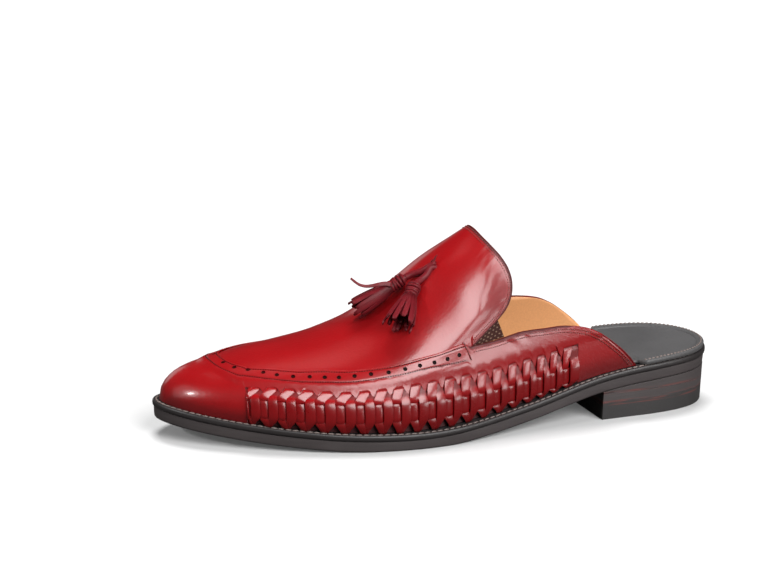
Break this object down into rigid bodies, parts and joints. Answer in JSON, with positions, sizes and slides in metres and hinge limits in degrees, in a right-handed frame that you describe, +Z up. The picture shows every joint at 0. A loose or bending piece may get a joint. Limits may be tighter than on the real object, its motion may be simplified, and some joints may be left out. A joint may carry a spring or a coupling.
{
  "type": "woven tassel mule",
  "caption": "Backless leather slip-on shoe with woven side strips, a punched apron band, a high tongue with tassels, a welted sole and a low stacked heel; left foot.",
  "frame": {"origin": "centre of the footprint, on the floor that the sole and heel stand on", "axes": "+X from the toe to the heel along the shoe's length, +Y to the inner (big toe) side, +Z up"},
  "size_m": [0.2998, 0.1034, 0.0989],
  "materials": {
    "upper_leather": "polished smooth calf leather, lightly burnished",
    "gore_elastic": "dark brown basket-woven elastic",
    "tassel_leather": "burgundy leather, semi-gloss",
    "sock_leather": "dark grey smooth sock leather with a stitched rim",
    "welt_leather": "black-brown leather with light stitches",
    "sole_leather": "dyed and waxed sole edge",
    "heel_rubber": "dull black rubber"
  },
  "bodies": {
    "root": {"upper": "upper_leather", "gore_outer": "gore_elastic", "gore_inner": "gore_elastic", "tassel_lace": "tassel_leather", "tassel_front": "tassel_leather", "tassel_rear": "tassel_leather", "insole": "sock_leather", "welt": "welt_leather", "outsole": "sole_leather", "heel_wedge_lift": "sole_leather", "heel_middle_lift": "sole_leather", "heel_top_piece": "heel_rubber"}
  },
  "joints": []
}
